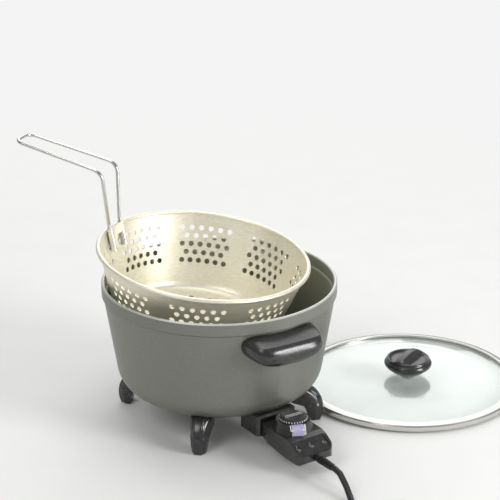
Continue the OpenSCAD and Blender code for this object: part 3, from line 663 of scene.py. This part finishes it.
class KETTLE_OT_basket(bpy.types.Operator):
    """Finishes the basket and bends its wire handle"""
    bl_idname = "kettle.basket"
    bl_label = "Basket"

    def execute(self, context):
        dress(spun_aluminium(context.scene.kettle_finish.basket), "basket_shell")
        dress(bright_metal("bright_steel", "#d2d0c8", 0.22, 0.9, (1, 1, 5)), "basket_bracket",
              "basket_hook", "basket_rivets")
        wire = bright_metal("bright_drawn_wire", "#b9b8b2", 0.2, 0.8)

        def on_wall(s, up):
            return Vector((SOCKET_X + up * math.sin(WALL_LEAN), s * SOCKET_Y, up * math.cos(WALL_LEAN)))

        def corners(s):
            bends = [Vector((x, s * y, z)) for x, y, z in (WIRE_KNEE, WIRE_FAR)]
            return [on_wall(s, WIRE_LOW), on_wall(s, WIRE_HIGH)] + bends

        def half(c, far):
            lowest = rounded(c[0], c[1], c[2], WIRE_BEND, 4)
            middle = rounded(c[1], c[2], c[3], WIRE_BEND, 14)
            return [c[0]] + lowest + middle + rounded(c[2], c[3], far, WIRE_END_BEND, 14)

        line = half(corners(-1), corners(1)[3]) + half(corners(1), corners(-1)[3])[::-1]
        tilt = Matrix.Rotation(math.radians(-BASKET_TILT), 4, "Y")
        hooked = about_z(BASKET_TURN) @ Matrix.Translation((BASKET_OUT, 0, BASKET_Z)) @ tilt
        wire_tube("wire_handle_bail", [(hooked @ p) * MM for p in line], WIRE_R * MM, wire, "wire_handle",
                  ["basket_handle"])
        return {"FINISHED"}


class KETTLE_OT_lid(bpy.types.Operator):
    """Finishes the lid and moulds its knob: a round bun with a raised bar across its top"""
    bl_idname = "kettle.lid"
    bl_label = "Lid"

    def execute(self, context):
        dress(bright_metal("rolled_stainless", "#c4c3bd", 0.25, 1.0, (1, 1, 6)), "lid_rim")
        dress(soda_lime_glass("#f5f9f7"), "lid_glass")
        dress(plastic("silicone_washer", "#1c1c1d", "#262627", 0.6), "knob_seat")

        side = blend_curve([(12, 0, 0), (14.5, 1, 0), (20, 4.6, 0), (25.6, 9.2, 0), (KNOB_R, 13, 0),
                            (26.6, 15.6, 0), (CROWN_R, CROWN_Z, 0)], 5)
        profile = [(0.01, 0)] + [(x, z) for x, z, _ in side]
        for i in range(1, 15):
            a = math.pi / 2 * i / 14
            profile.append((max(CROWN_R * math.cos(a), 0.01), CROWN_Z + CROWN_RISE * math.sin(a) ** 0.8))

        # the dome falls away over 8 mm on both sides of the bar, and keeps a lip in its outer 5 mm
        floor = CROWN_Z + 0.4

        def scooped(r, a, z):
            away = abs(r * math.sin(a))
            depth = min(1, max(0, (away - KNOB_BAR_HALF_WIDTH) / 8))
            inside = min(1, max(0, (CROWN_R - 0.4 - r) / 5))
            fall = depth * depth * (3 - 2 * depth) * inside
            return r, z - (z - floor) * fall if z > floor else z

        made("domed_knob", turned(profile, 120, scooped), bpy.data.materials["moulded_phenolic"], "lid",
             ["lid_knob"], 50, moved(LID_X, LID_Y, KNOB_Z) @ about_z(KNOB_TURN))
        return {"FINISHED"}


class KETTLE_OT_control(bpy.types.Operator):
    """Finishes the heat control, moulds its fluted dial and prints the marks of dial and window"""
    bl_idname = "kettle.control"
    bl_label = "Heat control"

    def execute(self, context):
        dress(plastic("polycarbonate_lens", "#9d99bd", "#b4b1cc", 0.25), "pilot_lens")
        dress(plastic("glow_lamp", "#d98a4a", "#e8a060", 0.2), "pilot_lamp")
        paint = plastic("white_marking_ink", "#dadad4", "#e9e9e4", 0.5)
        black = bpy.data.materials["moulded_phenolic"]
        centre = moved(DIAL_X, 0, DIAL_Z)

        # the flutes are cut in the dial's shoulder alone
        def fluted(r, a, z):
            if 12.5 < r < 14.3 and z > 2:
                r -= FLUTE_DEPTH / 2 * (1 - math.cos(DIAL_FLUTES * a))
            return r, z

        profile = [(0.01, 0), (15.5, 0), (15.5, 1.4), (15.1, 1.8), (14.4, 1.9), (14.2, 2.1), (13.2, 2.9),
                   (12.4, 3.2), (0.01, 3.2)]
        made("fluted_dial", turned(profile, 240, fluted), black, "dial", ["control_dial"], 40, centre)
        grip = [(-2, 3), (-1.6, 4.5), (1.6, 4.5), (2, 3)]
        ends = ((-11.6, 0.8), (-11, 1), (11, 1), (11.6, 0.8))
        rings = [[(x * w, y, z) for x, z in grip] for y, w in ends]
        made("dial_bar", lofted(rings), black, "dial", (), 30, centre)
        line = bar([(-0.45, 4.4), (-0.45, 4.56), (0.45, 4.56), (0.45, 4.4)], (-10.4, 10.4))
        made("dial_pointer_line", line, paint, "dial", (), 30, centre)
        tick = [(14.5, 1.8), (15.1, 1.88), (15.56, 1.44), (15.56, 0.3), (15.3, 0.3)]
        points, sides = bar(tick, (-0.4, 0.4))
        turns = [about_z(k * DIAL_RANGE / (DIAL_TICKS - 1) + DIAL_START) for k in range(DIAL_TICKS)]
        ticks = gathered([([turn @ Vector(p) for p in points], sides) for turn in turns])
        made("dial_scale_marks", ticks, paint, "dial", (), 30, centre)
        # corner marks on both sides of the pilot window, on the turret's slope
        marks = []
        for s in (-1, 1):
            for strip in ([(16.6, s * 7.9, 48.06), (18.2, s * 7.9, 48.06), (21.6, s * 7.9, 43.9)],
                          [(21.6, s * 7.9, 43.9), (21.6, s * 4.6, 44.3)]):
                for a, b in zip(strip, strip[1:]):
                    a, b = Vector(a), Vector(b)
                    side = unit((b - a).cross(Vector((0.6, 0, 0.8)))) * MARK_WIDTH / 2
                    up = Vector((0.05, 0, 0.12))
                    marks.append(lofted([[p + side - up, p + side + up, p - side + up, p - side - up]
                                         for p in (a, b)]))
        made("pilot_window_marks", gathered(marks), paint, "heat_control", (), 30,
             moved(DIAL_X, 0, 0) @ about_z(LAMP_TURN))
        return {"FINISHED"}


class KETTLE_OT_cord(bpy.types.Operator):
    """Lays the cord from the control to its coil, its tie and its plug"""
    bl_idname = "kettle.cord"
    bl_label = "Cord"

    def execute(self, context):
        jacket = plastic("pvc_cord_jacket", "#141415", "#1f1f20", 0.42)
        dress(jacket, "cord_strain_relief", "cord_tie", "plug_body")
        route = [CORD_START, (221.2, 0, 21), (229, 0, 19.4), (236, -1, 15.6), (243, -2, 11.2),
                 (250, -4, 7.4), (258, -7, 4.8), (268, -11, 3.6), (279, -16, 3.35), (291, -21, 3.35),
                 (303, -26, 3.35), (316, -30, 3.35), (329, -33, 3.35), (342, -34.2, 3.35),
                 (354, -34.4, 3.35)]
        # (direction, radius, height) round the coil: outer turn, inner turn, then most of a turn on top
        turns = ((-86, 38.4, 3.35), (228, 38.4, 3.35), (272, 31.7, 3.35), (528, 31.7, 3.35),
                 (575, 31.9, 7.6), (612, 33.6, 10), (640, 35, 10), (820, 35, 10), (850, 35.2, 11.6),
                 (870, 36, 13.2))
        for (a, r, z), (b, far_r, far_z) in zip(turns, turns[1:]):
            steps = max(2, round((b - a) / 9))
            for i in range(steps):
                t = i / steps
                ease = t * t * (3 - 2 * t)
                route.append(self.on_coil(a + (b - a) * t, r + (far_r - r) * ease, z + (far_z - z) * ease))
        route.append(self.on_coil(870, 36, 13.9))
        points = [Vector(p) * MM for p in route]
        cord = wire_tube("detachable_cord", points, CORD_D / 2 * MM, jacket, "heat_control",
                         ["power_cord", "cord_coil"])
        return {"FINISHED"}

    def on_coil(self, degrees, r, z):
        """A place on the coil, from a direction, a radius and a height."""
        a = math.radians(degrees)
        return COIL_X + r * math.cos(a), COIL_Y + r * math.sin(a), z


class KETTLE_PT_panel(bpy.types.Panel):
    bl_idname = "KETTLE_PT_panel"
    bl_label = "Soup kettle"
    bl_space_type = "VIEW_3D"
    bl_region_type = "UI"
    bl_category = "Kettle"

    def draw(self, context):
        for operator in OPERATORS:
            self.layout.operator(operator.bl_idname)
        for settings in (context.scene.kettle_finish, context.scene.kettle_camera):
            for name in settings.bl_rna.properties.keys():
                if name not in ("rna_type", "name"):
                    self.layout.prop(settings, name)


OPERATORS = (KETTLE_OT_stage, KETTLE_OT_pot, KETTLE_OT_handles, KETTLE_OT_legs, KETTLE_OT_basket,
             KETTLE_OT_lid, KETTLE_OT_control, KETTLE_OT_cord)
CLASSES = (KettleFinish, CameraSettings) + OPERATORS + (KETTLE_PT_panel,)


def register():
    for item in CLASSES:
        bpy.utils.register_class(item)
    bpy.types.Scene.kettle_finish = bpy.props.PointerProperty(type=KettleFinish)
    bpy.types.Scene.kettle_camera = bpy.props.PointerProperty(type=CameraSettings)


def unregister():
    del bpy.types.Scene.kettle_finish, bpy.types.Scene.kettle_camera
    for item in reversed(CLASSES):
        bpy.utils.unregister_class(item)


def main():
    for name in ("Cube", "Light", "Camera"):
        if name in bpy.data.objects:
            bpy.data.objects.remove(bpy.data.objects[name])
    register()
    for operator in OPERATORS:
        group, name = operator.bl_idname.split(".")
        getattr(getattr(bpy.ops, group), name)()
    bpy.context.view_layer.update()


if __name__ == "__main__":
    main()
